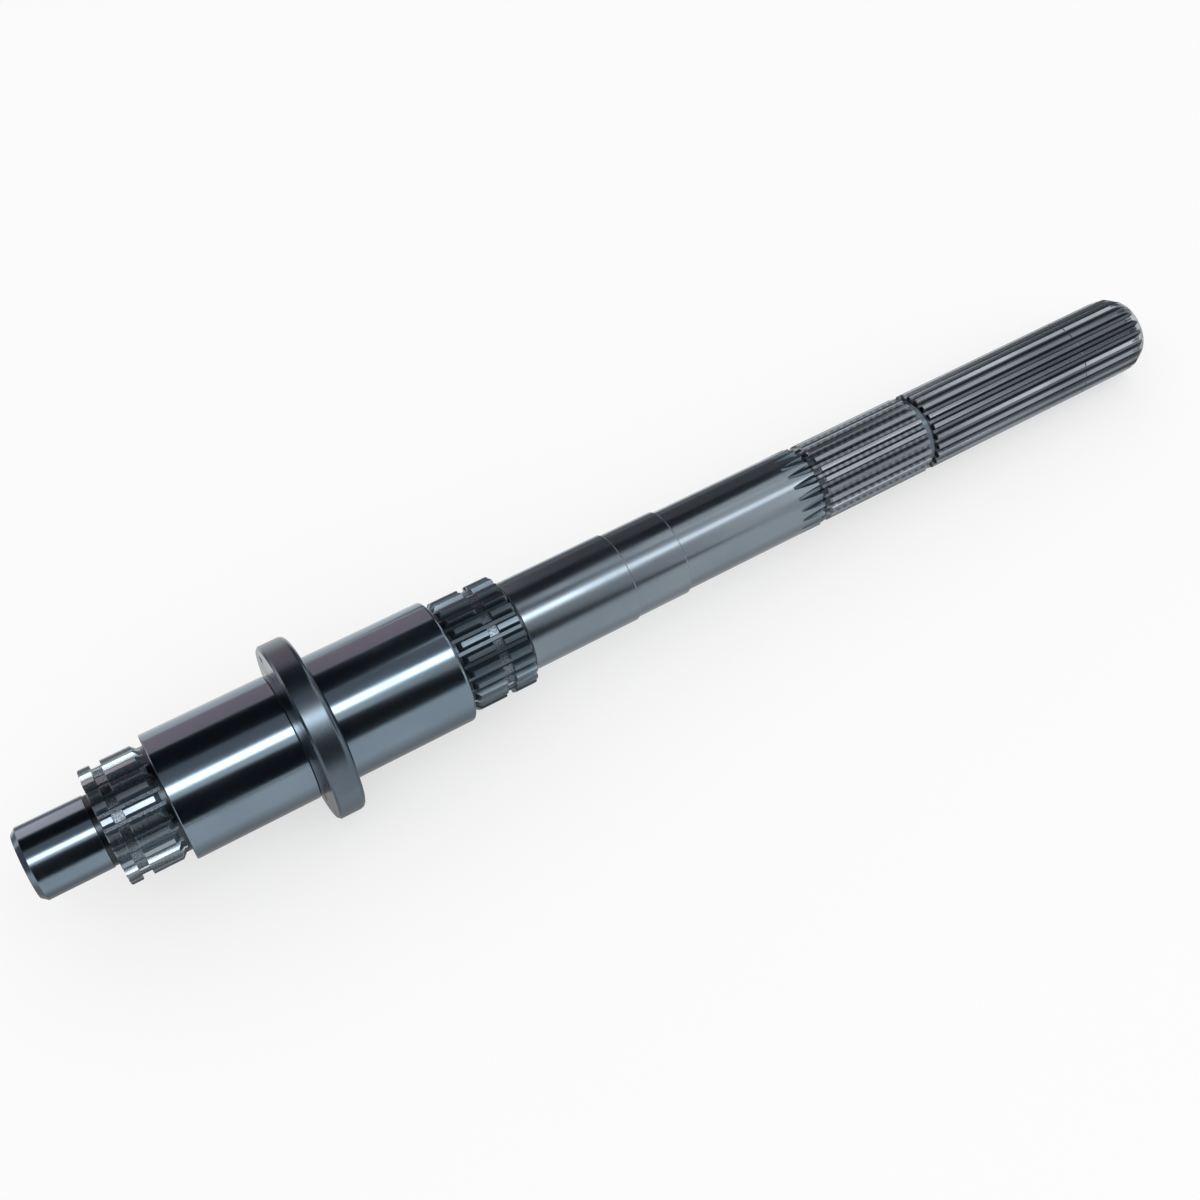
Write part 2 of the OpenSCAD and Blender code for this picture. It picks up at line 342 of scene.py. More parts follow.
@dataclass(frozen=True)
class MainShaft:
    """The whole shaft, with the sizes of its CAD node in millimetres.

    The flange's radius is a hair less than the CAD's 31.1, so its finer facets stay inside the CAD node's box.
    The values from segments on are for the mesh and the borders between finishes, among them those of painted
    shade and painted highlights.
    """

    pilot_r: float = 12.5
    pilot_len: float = 23.5
    pilot_lead_len: float = 1.9
    pilot_lead_depth: float = 1.6
    pilot_relief_len: float = 2.0
    pilot_relief_depth: float = 0.35
    hub_teeth: int = 24
    hub_module: float = 1.5875
    hub_depth: float = 2.0
    ring_groove_len: float = 3.5
    ring_groove_depth: float = 1.5
    hub_chamfer: float = 1.6
    tooth_break: float = 0.35
    front_gap_len: float = 2.0
    rear_gap_len: float = 1.4
    front_band_len: float = 4.0
    front_teeth_len: float = 11.5
    rear_teeth_len: float = 11.4
    rear_band_len: float = 7.9
    front_clock: float = -6.6
    rear_clock: float = 5.85
    journal_r: float = 21.8
    front_journal_len: float = 42.5
    rear_journal_len: float = 43.8
    journal_break: float = 0.3
    journal_round: float = 1.2
    relief_depth: float = 0.4
    front_relief_len: float = 2.3
    rear_relief_len: float = 1.2
    flange_r: float = 31.055
    flange_t: float = 9.7
    flange_chamfer: float = 0.8
    flange_round: float = 2.1
    flange_hole_r: float = 1.3
    flange_hole_depth: float = 6.0
    outer_hole: tuple[float, float] = (26.8, 128.0)
    inner_hole: tuple[float, float] = (23.8, -38.0)
    stem_relief_len: float = 1.6
    bearing_seat_r: float = 16.2
    bearing_seat_len: float = 40.8
    middle_seat_r: float = 15.65
    middle_seat_len: float = 20.8
    stem_r: float = 14.95
    stem_len: float = 56.8
    seat_break: float = 0.4
    tail_teeth: int = 22
    tail_module: float = 1.27
    tail_depth: float = 1.5
    entry_groove_len: float = 2.9
    entry_groove_depth: float = 0.95
    tail_front_len: float = 44.6
    split_groove_len: float = 3.2
    tail_rear_len: float = 99.9
    tail_taper_len: float = 3.7
    tail_taper_depth: float = 0.3
    tail_lead_len: float = 3.8
    tail_lead_depth: float = 2.0
    ring_mark_from_end: float = 30.6
    ring_mark_len: float = 0.4
    hob_r: float = 35.0
    centre_mouth_r: float = 3.15
    centre_drill_r: float = 1.25
    centre_drill_len: float = 4.0
    segments: int = 264
    hole_segments: int = 48
    edge_r: float = 0.16
    # How far from its rear wall the split groove's floor carries painted shade
    split_shade: float = 0.9
    centre_zone_r: float = 11.0
    rim_zone_depth: float = 2.0
    run_out_zone_len: float = 12.0
    stem_zone_depth: float = 0.2
    land_zone_depth: float = 0.15
    end_play: float = 0.05
    step_play: float = 0.1
    split_play: float = 0.4
    zone_play: float = 0.5

    @cached_property
    def at(self) -> Stations:
        """Walks along the shaft both ways from the rear end of the front journal.

        Returns:
            The stations of all edges.
        """
        ahead = (self.front_journal_len, self.front_gap_len, self.front_teeth_len, self.ring_groove_len,
                 self.front_band_len, self.pilot_relief_len, self.pilot_len)
        behind = (self.front_relief_len, self.flange_t, self.rear_relief_len, self.rear_journal_len,
                  self.rear_gap_len, self.rear_teeth_len, self.ring_groove_len, self.rear_band_len,
                  self.stem_relief_len, self.bearing_seat_len, self.middle_seat_len, self.stem_len,
                  self.entry_groove_len, self.tail_front_len, self.split_groove_len, self.tail_rear_len)
        return Stations(*[-station for station in reversed(list(accumulate(ahead)))], *accumulate(behind))

    def splines(self) -> list[Spline]:
        """Gives the shaft's teeth.

        Returns:
            The three splines: front hub, rear hub and tail.
        """
        at = self.at
        hub = (self.hub_teeth, self.hub_module, self.hub_depth)
        front = Spline(*hub, at.front_band_front - self.pilot_relief_len / 2,
                       at.front_teeth_rear + self.front_gap_len / 2, CUT_PAST, self.front_clock)
        rear = Spline(*hub, at.rear_teeth_front - self.rear_gap_len / 2,
                      at.rear_band_rear + self.stem_relief_len / 2, CUT_PAST, self.rear_clock)
        tail_tip_r = self.tail_module * (self.tail_teeth + 1) / 2
        tail = Spline(self.tail_teeth, self.tail_module, self.tail_depth,
                      at.stem_rear + self.entry_groove_len / 2, at.tail_end + CUT_PAST,
                      self.stem_r + CUT_PAST - tail_tip_r, 0.0, self.hob_r)
        return [front, rear, tail]

    def outline(self) -> Outline:
        """Gives the turned outline from one centre hole to the other.

        Returns:
            Points of station and radius, in millimetres.
        """
        at = self.at
        front_hub, _, tail = self.splines()
        tip = front_hub.tip_r
        floor, foot = tip - self.ring_groove_depth, tip - self.hub_chamfer
        step, flange_in = self.tooth_break, self.journal_r - self.relief_depth
        mark = at.tail_end - self.ring_mark_from_end
        return [
            *self.centre_hole(at.pilot_front, 1),
            (at.pilot_front, self.pilot_r - self.pilot_lead_depth),
            (at.pilot_front + self.pilot_lead_len, self.pilot_r),
            (at.pilot_rear, self.pilot_r),
            (at.pilot_rear, self.pilot_r - self.pilot_relief_depth),
            (at.front_band_front, self.pilot_r - self.pilot_relief_depth),
            (at.front_band_front, tip - step),
            (at.front_band_front + step, tip),
            (at.front_band_rear, tip),
            (at.front_band_rear, floor),
            (at.front_teeth_front, floor),
            (at.front_teeth_front, tip),
            (at.front_teeth_rear - self.hub_chamfer, tip),
            (at.front_teeth_rear, foot),
            (at.front_journal_front, foot),
            (at.front_journal_front, self.journal_r - self.journal_break),
            (at.front_journal_front + self.journal_break, self.journal_r),
            (0.0, self.journal_r),
            (self.relief_depth, flange_in),
            (at.flange_front + self.relief_depth / 2, flange_in),
            (at.flange_front + self.relief_depth / 2, self.journal_r),
            (at.flange_front, self.journal_r + self.relief_depth),
            (at.flange_front, self.flange_r - self.flange_chamfer),
            (at.flange_front + self.flange_chamfer, self.flange_r),
            *self.rear_round(at.flange_rear, self.flange_r, self.flange_round),
            (at.flange_rear, self.journal_r + self.relief_depth),
            (at.flange_rear - self.relief_depth / 2, self.journal_r),
            (at.flange_rear - self.relief_depth / 2, flange_in),
            (at.rear_journal_front - self.relief_depth, flange_in),
            (at.rear_journal_front, self.journal_r),
            *self.rear_round(at.rear_journal_rear, self.journal_r, self.journal_round),
            (at.rear_journal_rear, foot),
            (at.rear_teeth_front, foot),
            (at.rear_teeth_front + self.hub_chamfer, tip),
            (at.rear_teeth_rear, tip),
            (at.rear_teeth_rear, floor),
            (at.rear_band_front, floor),
            (at.rear_band_front, tip),
            (at.rear_band_rear - step, tip),
            (at.rear_band_rear, tip - step),
            (at.rear_band_rear, self.bearing_seat_r - self.relief_depth),
            (at.bearing_seat_front - self.relief_depth, self.bearing_seat_r - self.relief_depth),
            (at.bearing_seat_front, self.bearing_seat_r),
            (at.middle_seat_front - self.seat_break, self.bearing_seat_r),
            (at.middle_seat_front, self.bearing_seat_r - self.seat_break),
            (at.middle_seat_front, self.middle_seat_r),
            (at.stem_front - self.seat_break, self.middle_seat_r),
            (at.stem_front, self.middle_seat_r - self.seat_break),
            (at.stem_front, self.stem_r),
            (at.stem_rear, self.stem_r),
            (at.stem_rear, self.stem_r - self.entry_groove_depth),
            (at.tail_front, self.stem_r - self.entry_groove_depth),
            (at.tail_front + tail.tip_r - self.stem_r + self.entry_groove_depth, tail.tip_r),
            (at.split_front, tail.tip_r),
            (at.split_front, tail.root_r),
            # The split groove's floor is parted where its painted shade begins
            (at.split_rear - self.split_shade, tail.root_r),
            (at.split_rear, tail.root_r),
            (at.split_rear, tail.tip_r - step),
            (at.split_rear + step, tail.tip_r),
            (mark, tail.tip_r),
            (mark + self.ring_mark_len / 2, tail.tip_r - self.ring_mark_len / 2),
            (mark + self.ring_mark_len, tail.tip_r),
            (at.tail_end - self.tail_lead_len - self.tail_taper_len, tail.tip_r),
            (at.tail_end - self.tail_lead_len, tail.tip_r - self.tail_taper_depth),
            (at.tail_end, tail.tip_r - self.tail_taper_depth - self.tail_lead_depth),
            *reversed(self.centre_hole(at.tail_end, -1)),
        ]

    def centre_hole(self, mouth: float, inwards: int) -> Outline:
        """Gives the outline of a lathe centre hole, from its floor to its mouth.

        Args:
            mouth: Station of the end face.
            inwards: 1 where the hole runs towards the tail, and -1 where it runs the other way.

        Returns:
            Points of station and radius.
        """
        cone = (self.centre_mouth_r - self.centre_drill_r) / math.tan(math.radians(CENTRE_CONE))
        return [
            (mouth + inwards * (cone + self.centre_drill_len), self.centre_drill_r),
            (mouth + inwards * cone, self.centre_drill_r),
            (mouth, self.centre_mouth_r),
        ]

    def rear_round(self, station: float, radius: float, edge: float) -> Outline:
        """Gives a quarter round from the top of an edge to its rear face."""
        turns = [math.radians(90 * i / ROUND_STEPS) for i in range(ROUND_STEPS + 1)]
        return [(station - edge + edge * math.sin(a), radius - edge + edge * math.cos(a)) for a in turns]

    def softened(self, points: Outline) -> Outline:
        """Gives every sharp corner of an outline a small round, as a real edge has.

        Args:
            points: The outline with its corners.

        Returns:
            The outline with arcs in place of the corners.
        """
        made = [points[0]]
        for before, here, after in zip(points, points[1:], points[2:]):
            a, b, c = Vector(before), Vector(here), Vector(after)
            arm_in, arm_out = a - b, c - b
            turn = math.pi - arm_in.angle(arm_out)
            if turn < math.radians(CORNER_TURN):
                made.append(here)
                continue
            longest = SIDE_SHARE * min(arm_in.length, arm_out.length)
            cut = min(self.edge_r * math.tan(turn / 2), longest)
            start, end = b + arm_in.normalized() * cut, b + arm_out.normalized() * cut
            parts = max(2, round(math.degrees(turn) / CORNER_TURN))
            for i in range(parts + 1):
                t = i / parts
                p = start * (1 - t) ** 2 + b * 2 * t * (1 - t) + end * t ** 2
                made.append((p.x, p.y))
        made.append(points[-1])
        return made

    def blank(self) -> bpy.types.Object:
        """Turns the blank as on a lathe: a disc is drawn out from station to station.

        Returns:
            The closed blank, with its axis along Z.
        """
        points = self.softened(self.outline())
        deselect()
        bpy.ops.mesh.primitive_circle_add(vertices=self.segments, radius=points[0][1] * MM, fill_type="NGON",
                                          location=(0, 0, points[0][0] * MM))
        piece = bpy.context.object
        bpy.ops.object.transform_apply(location=True)
        edit_all()
        for (z0, r0), (z1, r1) in zip(points, points[1:]):
            bpy.ops.mesh.extrude_region_move(TRANSFORM_OT_translate={"value": (0, 0, (z1 - z0) * MM)})
            bpy.ops.transform.resize(value=(r1 / r0, r1 / r0, 1), center_override=(0, 0, 0))
        bpy.ops.mesh.select_all(action="SELECT")
        bpy.ops.mesh.normals_make_consistent(inside=False)
        bpy.ops.object.mode_set(mode="OBJECT")
        return piece

    def drill(self, place: tuple[float, float]) -> bpy.types.Object:
        """Models what one of the flange's small holes takes away.

        Args:
            place: Radius at which the hole lies and its turn about the axis, in degrees.

        Returns:
            The drill, along Z.
        """
        deselect()
        turn = math.radians(place[1])
        depth = self.flange_hole_depth + DRILL_PAST
        bpy.ops.mesh.primitive_cylinder_add(vertices=self.hole_segments, radius=self.flange_hole_r * MM,
                                            depth=depth * MM)
        piece = bpy.context.object
        middle = self.at.flange_front - DRILL_PAST + depth / 2
        centre = Vector((place[0] * math.cos(turn), place[0] * math.sin(turn), middle))
        piece.data.transform(Matrix.Translation(centre * MM))
        return piece

    def build(self) -> bpy.types.Object:
        """Makes the shaft's visible piece.

        Returns:
            The finished piece, lying along +X in the row frame.
        """
        piece = self.blank()
        cutters = [c for spline in self.splines() for c in spline.cutters()]
        cutters += [self.drill(self.outer_hole), self.drill(self.inner_hole)]
        deselect()
        for cutter in cutters:
            cutter.select_set(True)
        bpy.context.view_layer.objects.active = cutters[0]
        bpy.ops.object.join()
        tool = bpy.context.object
        edit_all()
        bpy.ops.mesh.normals_make_consistent(inside=False)
        bpy.ops.object.mode_set(mode="OBJECT")
        apply_modifier(piece, "BOOLEAN", object=tool, operation="DIFFERENCE", solver="MANIFOLD")
        pick(tool)
        bpy.ops.object.delete()
        pick(piece)
        piece.data.transform(Matrix.Rotation(math.radians(90), 4, "Y"))
        piece.name = piece.data.name = "shaft_body"
        self.dress(piece)
        bpy.ops.object.shade_smooth_by_angle(angle=math.radians(SMOOTH_ANGLE))
        apply_modifier(piece, "WEIGHTED_NORMAL", mode="FACE_AREA", weight=60, keep_sharp=True)
        log.info("shaft_body: %d faces", len(piece.data.polygons))
        return piece

    def zone_at(self, centre: Vector, normal: Vector) -> Zone:
        """Says which finish covers a face.

        Args:
            centre: Middle of the face in the row frame, in metres.
            normal: Its outward normal.

        Returns:
            The finish's zone.
        """
        at = self.at
        x = centre.x / MM
        radius = math.hypot(centre.y, centre.z) / MM
        across = Vector((0, centre.y, centre.z)).normalized()
        faces_out = normal.dot(across) > OUTWARDS
        at_end = x < at.pilot_front + self.end_play or x > at.tail_end - self.end_play
        if at_end or radius < self.centre_zone_r:
            return Zone.TURNED
        if at.pilot_rear < x < at.front_journal_front or at.rear_journal_rear < x < at.bearing_seat_front:
            return self.hub_zone(x, faces_out, normal)
        # Painted shade inside the flange's small holes
        into_flange = x - at.flange_front - self.zone_play
        if 0 < into_flange < self.flange_hole_depth and radius < self.flange_r - self.rim_zone_depth:
            return Zone.GAP
        if 0 < x < at.rear_journal_front:
            return Zone.SATIN if faces_out and radius > self.flange_r - self.zone_play else Zone.TURNED
        if x > at.stem_rear - self.run_out_zone_len:
            return self.tail_zone(x, radius, faces_out, normal)
        # Painted highlight on the chamfers of the seat steps
        to_step = min(abs(x - at.middle_seat_front), abs(x - at.stem_front))
        if to_step < self.seat_break + self.step_play and normal.x > SLANTED:
            return Zone.LEAD
        return Zone.SEAT if x > at.bearing_seat_front - self.zone_play else Zone.GROUND

    def hub_zone(self, x: float, faces_out: bool, normal: Vector) -> Zone:
        """Says which finish covers a face at one of the hub splines.

        Args:
            x: The face's station.
            faces_out: Whether it faces straight away from the axis.
            normal: Its outward normal.

        Returns:
            The finish's zone.
        """
        at = self.at
        in_front_groove = at.front_band_rear < x < at.front_teeth_front
        in_rear_groove = at.rear_teeth_rear < x < at.rear_band_front
        if faces_out and (in_front_groove or in_rear_groove):
            return Zone.GROOVE
        if at.front_band_front < x < at.front_teeth_rear:
            return Zone.TEETH
        if at.rear_teeth_front < x < at.rear_band_rear:
            return Zone.REAR_TEETH
        # Painted highlight on the seat's front ramp, and painted shade in the narrow gaps beside the teeth
        on_ramp = x > at.bearing_seat_front - self.relief_depth and normal.x < -SLANTED
        return Zone.LEAD if on_ramp else Zone.GAP

    def tail_zone(self, x: float, radius: float, faces_out: bool, normal: Vector) -> Zone:
        """Says which finish covers a face at the tail spline.

        Args:
            x: The face's station.
            radius: Its distance from the axis.
            faces_out: Whether it faces straight away from the axis.
            normal: Its outward normal.

        Returns:
            The finish's zone.
        """
        at = self.at
        tail = self.splines()[2]
        mark = at.tail_end - self.ring_mark_from_end
        if x < at.stem_rear:
            return Zone.SEAT if faces_out and radius > self.stem_r - self.stem_zone_depth else Zone.REAR_TEETH
        on_wall = normal.x < -SQUARE
        # Painted shade on the split groove's rear wall and the end of its floor beside it
        if at.split_rear - self.split_shade < x < at.split_rear + self.split_play and (faces_out or on_wall):
            return Zone.GAP if on_wall or radius < tail.root_r + self.step_play else Zone.LAND
        # Painted shade in the entry groove
        if x < at.tail_front:
            return Zone.GAP
        if mark < x < mark + self.ring_mark_len and radius > tail.tip_r - self.ring_mark_len:
            return Zone.GROOVE
        # Painted highlight on the tail's lead
        if x > at.tail_end - self.tail_lead_len:
            return Zone.LEAD
        if at.split_front < x < at.split_rear:
            return Zone.TURNED
        return Zone.LAND if radius > tail.tip_r - self.land_zone_depth else Zone.HOBBED

    def dress(self, piece: bpy.types.Object) -> None:
        """Gives every face of the shaft its finish.

        Args:
            piece: The shaft's visible piece.
        """
        piece.data.materials.clear()
        for finish in FINISHES:
            piece.data.materials.append(finish.material())
        for face in piece.data.polygons:
            face.material_index = self.zone_at(face.center, face.normal).value


class Wire:
    """A socket of a shader tree that takes part in maths."""

    def __init__(self, graph: "Graph", socket: bpy.types.NodeSocket) -> None:
        """Wraps a socket of the graph."""
        self.graph = graph
        self.socket = socket

    def _maths(self, operation: str, *values: Union["Wire", Number]) -> "Wire":
        """Adds a Math node on this wire and the other values."""
        return self.graph.add("ShaderNodeMath", {"operation": operation}, dict(enumerate(values)))

    def __add__(self, other: Union["Wire", Number]) -> "Wire":
        """Adds."""
        return self._maths("ADD", self, other)

    def __rsub__(self, other: Number) -> "Wire":
        """Subtracts this wire from a number."""
        return self._maths("SUBTRACT", other, self)

    def __mul__(self, other: Union["Wire", Number]) -> "Wire":
        """Multiplies."""
        return self._maths("MULTIPLY", self, other)

    def wave(self) -> "Wire":
        """Gives the sine."""
        return self._maths("SINE", self)

    def size(self) -> "Wire":
        """Gives the value without its sign."""
        return self._maths("ABSOLUTE", self)

    def least(self, other: Union["Wire", Number]) -> "Wire":
        """Gives the smaller of two values."""
        return self._maths("MINIMUM", self, other)

    def fade(self, low: float, high: float) -> "Wire":
        """Gives a smooth rise from 0 at low to 1 at high."""
        values = {"Value": self, "From Min": low, "From Max": high, "To Min": 0.0, "To Max": 1.0}
        return self.graph.add("ShaderNodeMapRange", {"interpolation_type": "SMOOTHSTEP"}, values)


class Graph:
    """A shader tree that is being built."""

    def __init__(self, owner: Union[bpy.types.Material, bpy.types.World]) -> None:
        """Starts on the emptied tree of a material or a world."""
        owner.use_nodes = True
        owner.node_tree.nodes.clear()
        self.tree = owner.node_tree

    def add(self, kind: str, settings: dict[str, Any] | None = None,
            inputs: dict[Union[str, int], Any] | None = None, output: Union[str, int] = 0) -> Wire:
        """Adds one node.

        Args:
            kind: The node's type.
            settings: Its settings, which are set first.
            inputs: Values or wires for its sockets.
            output: The output that is wanted.

        Returns:
            The wire from that output.
        """
        node = self.tree.nodes.new(kind)
        for key, value in (settings or {}).items():
            setattr(node, key, value)
        for key, value in (inputs or {}).items():
            if isinstance(value, Wire):
                self.tree.links.new(value.socket, node.inputs[key])
            else:
                node.inputs[key].default_value = value
        return Wire(self, node.outputs[output])

    def blend(self, factor: Wire, first: Any, second: Any) -> Wire:
        """Blends two colours.

        Args:
            factor: 0 for the first and 1 for the second.
            first: A colour or a wire.
            second: A colour or a wire.

        Returns:
            The wire of the blended colour.
        """
        pair = [c if isinstance(c, Wire) else (*c, 1) for c in (first, second)]
        return self.add("ShaderNodeMix", {"data_type": "RGBA"}, {0: factor, 6: pair[0], 7: pair[1]}, 2)

    def place(self) -> tuple[Wire, Wire, Wire, Wire]:
        """Reads the object coordinates.

        Returns:
            Wires of the whole vector and of its x, y and z.
        """
        vector = self.add("ShaderNodeTexCoord", output="Object")
        parts = [self.add("ShaderNodeSeparateXYZ", inputs={0: vector}, output=i) for i in range(3)]
        return vector, *parts

    def noise(self, vector: Wire, scale: float, axes: tuple[float, float, float] = (1, 1, 1),
              detail: float = 2.0) -> Wire:
        """Adds a noise pattern.

        Args:
            vector: The coordinates that it follows.
            scale: How many features a metre holds.
            axes: How much of that it has along x, y and z.
            detail: How many finer layers are added.

        Returns:
            The noise, about 0.5.
        """
        turned = self.add("ShaderNodeVectorMath", {"operation": "MULTIPLY"}, {0: vector, 1: axes})
        return self.add("ShaderNodeTexNoise", None, {"Vector": turned, "Scale": scale, "Detail": detail})

    def bump(self, height: Wire, distance: float) -> Wire:
        """Turns a height into a normal.

        Args:
            height: The height, about 0 to 1.
            distance: What a height of 1 means, in metres.

        Returns:
            The bent normal.
        """
        return self.add("ShaderNodeBump", None, {"Height": height, "Distance": distance, "Strength": 1.0})

    def shown(self) -> Wire:
        """Tells the rays that show a surface from those that only carry light.

        Returns:
            1 for the eye and for polished faces, and 0 for the others.
        """
        kinds = ("Is Camera Ray", "Is Glossy Ray", "Is Transmission Ray")
        seen, glossy, through = [self.add("ShaderNodeLightPath", output=kind) for kind in kinds]
        return (seen + glossy + through).least(1.0)

    def end(self, shader: Wire, kind: str = "ShaderNodeOutputMaterial") -> None:
        """Joins the last shader to the tree's output."""
        node = self.tree.nodes.new(kind)
        self.tree.links.new(shader.socket, node.inputs["Surface"])


def paint(name: str, colour: Colour, roughness: float) -> bpy.types.Material:
    """Makes a plain paint for the studio.

    Args:
        name: The material's name.
        colour: Its colour.
        roughness: Its roughness.

    Returns:
        The material.
    """
    made = bpy.data.materials.new(name)
    graph = Graph(made)
    values = {"Base Color": (*colour, 1), "Roughness": roughness, "Specular IOR Level": 0.0}
    graph.end(graph.add("ShaderNodeBsdfPrincipled", None, values))
    return made


def glow(name: str, colour: Colour, strength: float, fade: float = 0.0) -> bpy.types.Material:
    """Makes the material of a lit card, or, with a fade, of a painted shadow: a glow dimmer than the floor.

    Args:
        name: The material's name.
        colour: The colour of its light.
        strength: How bright it is, where 1 is white.
        fade: How far from under the shaft the painted shadow has faded away, in metres, or 0 where it never
            does.

    Returns:
        The material.
    """
    made = bpy.data.materials.new(name)
    graph = Graph(made)
    light = graph.add("ShaderNodeEmission", None, {"Color": (*colour, 1), "Strength": strength})
    # A faded card is a painted shadow: its dim glow fades to clear away from under the shaft
    if fade:
        _, _, y, _ = graph.place()
        away = (PAINTED_SHADOW_Y - y).size().fade(PAINTED_SHADOW_FULL * fade, fade)
        clear = graph.add("ShaderNodeBsdfTransparent")
        light = graph.add("ShaderNodeMixShader", None, {0: away, 1: light, 2: clear})
    graph.end(light)
    return made


def card_look(name: str, colour: Colour, strength: float, fade: float = 0.0) -> bpy.types.Material:
    """Gives a lit card its glow and any other its paint."""
    return glow(name, colour, strength, fade) if strength else paint(name, colour, 1.0)


def direction(height: float) -> Vector:
    """Gives the direction square to the shaft at an angle above the camera's side, in degrees."""
    turn = math.radians(height)
    return Vector((0, -math.cos(turn), math.sin(turn)))


@dataclass(frozen=True)
class SteelFinish:
    """A finish that steel can have.

    Attributes:
        name: The material's name.
        light: Its colour where it is cleanest.
        dark: Its colour where oil and wear have dulled it.
        smooth: Roughness where it is smoothest.
        rough: Roughness where it is roughest.
        line_depth: Depth of the fine lines that run round the shaft, in metres.
        grain_depth: Depth of the fine grain, in metres.
        feed: Distance between the hob's feed marks along the shaft, in metres, or 0 for none.
        feed_end: Station where the marks fade, in metres.
        speckle: Share of the grain in the change of colour.
    """

    name: str
    light: Colour
    dark: Colour
    smooth: float
    rough: float
    line_depth: float
    grain_depth: float
    feed: float = 0.0
    feed_end: float = 0.0
    speckle: float = 0.3

    def material(self) -> bpy.types.Material:
        """Builds the finish's material.

        Returns:
            The material with its nodes.
        """
        made = bpy.data.materials.new(self.name)
        graph = Graph(made)
        vector, x, _, _ = graph.place()
        cloud = graph.noise(vector, CLOUD_SCALE, CLOUD_AXES, 3)
        lines = graph.noise(vector, LINE_SCALE, LINE_AXES)
        grain = graph.noise(vector, GRAIN_SCALE)
        worn = cloud.fade(*CLOUD_FADE)
        mottle = worn * (1 - self.speckle) + grain.fade(*GRAIN_FADE) * self.speckle
        colour = graph.blend(mottle, self.light, self.dark)
        more = self.rough - self.smooth
        roughness = worn * CLOUD_SHARE * more + lines * LINE_SHARE * more + self.smooth
        height = lines * (self.line_depth / MM) + grain * (self.grain_depth / MM)
        if self.feed:
            beads = (x * (2 * math.pi / self.feed)).wave().fade(*FEED_WAVE)
            marks = beads * (1 - x.fade(self.feed_end, self.feed_end + FEED_FADE))
            bright = tuple(FEED_SHINE * part for part in self.light)
            colour = graph.blend(marks * grain.fade(*FEED_GRAIN) * FEED_SHARE, colour, bright)
        normal = graph.bump(height, MM)
        graph.end(graph.add("ShaderNodeBsdfPrincipled", None, {
            "Base Color": colour, "Metallic": 1.0, "Roughness": roughness, "Normal": normal}))
        return made


FINISHES = (
    SteelFinish("ground_steel", (0.2, 0.257, 0.31), (0.17, 0.225, 0.275), 0.13, 0.19, 0.0000012, 0.0000002),
    SteelFinish("front_hub_steel", (0.3, 0.355, 0.4), (0.2, 0.24, 0.275), 0.24, 0.36, 0.000001, 0.0000007),
    SteelFinish("turned_steel", (0.13, 0.165, 0.2), (0.09, 0.115, 0.145), 0.2, 0.3, 0.000003, 0.000001),
    SteelFinish("groove_steel", (0.2, 0.245, 0.285), (0.045, 0.056, 0.068), 0.24, 0.36, 0.000003, 0.000009,
                speckle=0.8),
    SteelFinish("satin_steel", (0.13, 0.165, 0.2), (0.105, 0.135, 0.165), 0.25, 0.31, 0.0000008, 0.0000003),
    SteelFinish("tail_land_steel", (0.3, 0.325, 0.36), (0.2, 0.22, 0.25), 0.16, 0.26, 0.000002, 0.000001),
    SteelFinish("hobbed_steel", (0.13, 0.147, 0.165), (0.09, 0.103, 0.118), 0.26, 0.36, 0.000001, 0.000002,
                0.0029, 0.249),
    SteelFinish("seat_steel", (0.222, 0.262, 0.3), (0.185, 0.225, 0.262), 0.17, 0.25, 0.0000018, 0.0000003),
    # Painted shade: the next finish is near-black for holes, narrow gaps and groove walls, where shade falls
    SteelFinish("recess_shade_steel", (0.05, 0.06, 0.07), (0.03, 0.036, 0.042), 0.2, 0.3, 0.000003, 0.000002),
    # Painted highlight: the next finish is bright steel for chamfers, standing in for the light they reflect
    SteelFinish("chamfer_highlight_steel", (0.48, 0.5, 0.53), (0.34, 0.36, 0.39), 0.2, 0.3, 0.000003, 0.000001),
    SteelFinish("rear_hub_steel", (0.14, 0.18, 0.212), (0.095, 0.126, 0.152), 0.26, 0.38, 0.000001, 0.0000009),
)


@dataclass(frozen=True)
class Camera:
    """The camera, as it stood when the photograph was taken. Lengths are in millimetres.

    Attributes:
        focal_px: Focal length in pixels of the 1200 pixel frame.
        distance: Distance from the lens to the point of the axis that it is square to.
        foot: Station of that point.
        slant: How far the view leans along the shaft, in degrees.
        height: How high above level the shaft is seen from, in degrees.
        line: Direction of the axis in the picture, right and up.
        aside: How far the picture's middle lies from the axis, in pixels.
        frame_px: Side of that frame.
    """

    focal_px: float = 1593.27
    distance: float = 549.25
    foot: float = 114.5
    slant: float = 16.84
    height: float = 55.0
    line: tuple[float, float] = (0.8982953, 0.43939225)
    aside: float = 12.8
    frame_px: float = 1200.0

    def build(self) -> None:
        """Places the camera and makes it the scene's own."""
        rise, lean = math.radians(self.height), math.radians(self.slant)
        along = Vector((1, 0, 0))
        out = Vector((0, -math.cos(rise), math.sin(rise)))
        down = Vector((0, -math.sin(rise), -math.cos(rise)))
        ahead = math.sin(lean) * along - math.cos(lean) * out
        across = math.cos(lean) * along + math.sin(lean) * out
        forward = (self.focal_px * ahead + self.aside * down).normalized()
        below = (self.focal_px * down - self.aside * ahead).normalized()
        right = self.line[0] * across + self.line[1] * below
        up = self.line[1] * across - self.line[0] * below
        place = Vector((self.foot * MM, 0, 0)) - ahead * self.distance * MM
        data = bpy.data.cameras.new("camera")
        data.sensor_width = 36
        data.lens = self.focal_px / self.frame_px * data.sensor_width
        data.clip_start = 0.01
        camera = bpy.data.objects.new("camera", data)
        bpy.context.collection.objects.link(camera)
        turn = Matrix((right, up, -forward)).transposed().to_4x4()
        camera.matrix_world = Matrix.Translation(place) @ turn
        bpy.context.scene.camera = camera


